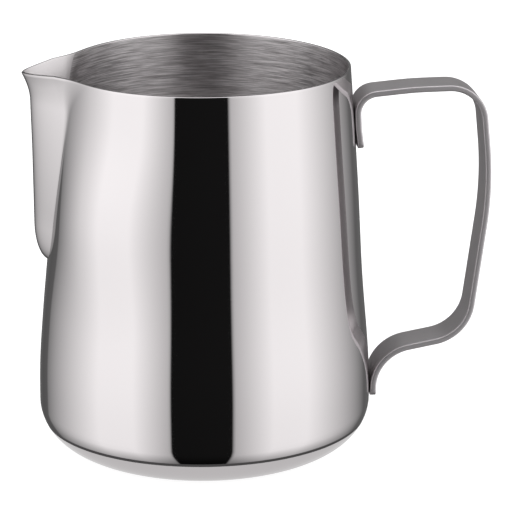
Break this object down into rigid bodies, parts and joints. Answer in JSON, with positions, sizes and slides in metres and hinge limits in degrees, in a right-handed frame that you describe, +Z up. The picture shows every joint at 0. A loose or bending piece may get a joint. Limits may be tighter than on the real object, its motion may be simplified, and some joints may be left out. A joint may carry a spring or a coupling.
{
  "type": "milk frothing pitcher",
  "caption": "Tapered stainless steel cup with a V-shaped pouring spout and a bent flat-bar handle, for steaming and pouring milk.",
  "frame": {"origin": "on the cup's axis, in the plane of its flat base", "axes": "+Z up along the cup's axis, +X towards the handle, -X towards the spout, +Y across"},
  "size_m": [0.1403, 0.1016, 0.1165],
  "materials": {
    "polished_steel": "mirror-polished stainless steel outside, brushed round the wall inside",
    "satin_steel": "satin brushed stainless steel flat bar with rounded edges",
    "weld_steel": "bare fused stainless steel of a spot weld"
  },
  "bodies": {
    "root": {"body_shell": "polished_steel", "spout": "polished_steel", "handle_strap": "satin_steel", "weld_upper_top": "weld_steel", "weld_upper_low": "weld_steel", "weld_lower_top": "weld_steel", "weld_lower_low": "weld_steel"}
  },
  "joints": []
}
